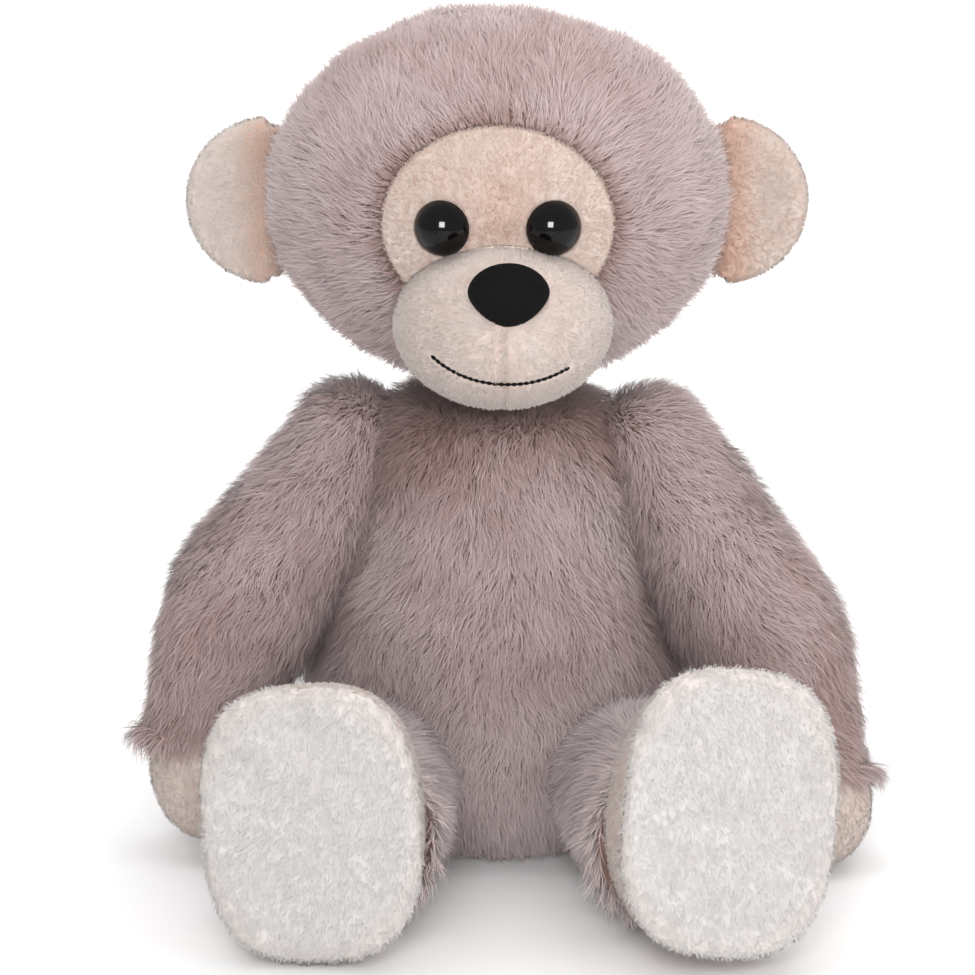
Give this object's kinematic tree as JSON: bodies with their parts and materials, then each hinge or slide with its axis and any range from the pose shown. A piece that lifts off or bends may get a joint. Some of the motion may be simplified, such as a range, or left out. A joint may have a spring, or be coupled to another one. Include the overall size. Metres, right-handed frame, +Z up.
{
  "type": "stuffed monkey",
  "caption": "Seated stuffed monkey with a long-pile body, short-plush face, ears and hands, white soles, and limbs, head and ears that move at their seams.",
  "frame": {"origin": "centre of the flat seat that the monkey rests on", "axes": "+Z up, -Y is the way the monkey faces, +X is the monkey's left"},
  "size_m": [0.2189, 0.2035, 0.2465],
  "materials": {
    "long_pile": "matte",
    "short_plush": "matte",
    "sole_plush": "matte",
    "fibre_filling": "matte",
    "bag_cloth": "matte",
    "thread": "matte",
    "nose_cloth": "matte",
    "eye_plastic": "gloss",
    "washer_plastic": "satin"
  },
  "bodies": {
    "torso": {"torso_fur": "long_pile", "torso_stuffing": "fibre_filling", "pellet_bag": "bag_cloth"},
    "neck": {"neck_stuffing": "fibre_filling", "neck_stitch": "thread"},
    "head": {"head_fur": "long_pile", "face_panel": "short_plush", "muzzle_panel": "short_plush", "head_stuffing": "fibre_filling", "nose": "nose_cloth", "mouth_stitch": "thread", "eye_left": "eye_plastic", "eye_right": "eye_plastic", "eye_washer_left": "washer_plastic", "eye_washer_right": "washer_plastic"},
    "ear_left": {"ear_front_left": "short_plush", "ear_back_left": "short_plush", "ear_wadding_left": "fibre_filling"},
    "arm_left": {"arm_fur_left": "long_pile", "hand_left": "short_plush", "arm_stuffing_left": "fibre_filling"},
    "leg_left": {"leg_fur_left": "long_pile", "foot_upper_left": "short_plush", "foot_sole_left": "sole_plush", "leg_stuffing_left": "fibre_filling", "foot_pellet_bag_left": "bag_cloth"},
    "ear_right": {"ear_front_right": "short_plush", "ear_back_right": "short_plush", "ear_wadding_right": "fibre_filling"},
    "arm_right": {"arm_fur_right": "long_pile", "hand_right": "short_plush", "arm_stuffing_right": "fibre_filling"},
    "leg_right": {"leg_fur_right": "long_pile", "foot_upper_right": "short_plush", "foot_sole_right": "sole_plush", "leg_stuffing_right": "fibre_filling", "foot_pellet_bag_right": "bag_cloth"}
  },
  "joints": [
    {"name": "neck_turn", "type": "hinge", "parent": "torso", "child": "neck", "pos_m": [0, -0.002, 0.136], "axis": [0, 0, 1], "range_deg": [-25, 25], "stiffness_Nm_per_rad": 0.3},
    {"name": "head_nod", "type": "hinge", "parent": "neck", "child": "head", "pos_m": [0, -0.002, 0.136], "axis": [1, 0, 0], "range_deg": [-10, 12], "stiffness_Nm_per_rad": 0.6},
    {"name": "shoulder_lift_left", "type": "hinge", "parent": "torso", "child": "arm_left", "pos_m": [0.046, -0.002, 0.115], "axis": [-0.63, -0.776, 0.03], "range_deg": [0, 70]},
    {"name": "hip_lift_left", "type": "hinge", "parent": "torso", "child": "leg_left", "pos_m": [0.033, -0.03, 0.0252], "axis": [-0.9564, -0.2922, 0], "range_deg": [0, 35]},
    {"name": "ear_fold_left", "type": "hinge", "parent": "head", "child": "ear_left", "pos_m": [0.068, 0.005, 0.1875], "axis": [0, 0, 1], "range_deg": [-25, 25], "stiffness_Nm_per_rad": 0.02},
    {"name": "shoulder_lift_right", "type": "hinge", "parent": "torso", "child": "arm_right", "pos_m": [-0.044, -0.002, 0.116], "axis": [-0.63, 0.776, -0.03], "range_deg": [0, 70]},
    {"name": "hip_lift_right", "type": "hinge", "parent": "torso", "child": "leg_right", "pos_m": [-0.033, -0.03, 0.0252], "axis": [-0.9829, 0.1843, 0], "range_deg": [0, 35]},
    {"name": "ear_fold_right", "type": "hinge", "parent": "head", "child": "ear_right", "pos_m": [-0.068, 0.005, 0.1875], "axis": [0, 0, 1], "range_deg": [-25, 25], "stiffness_Nm_per_rad": 0.02}
  ]
}
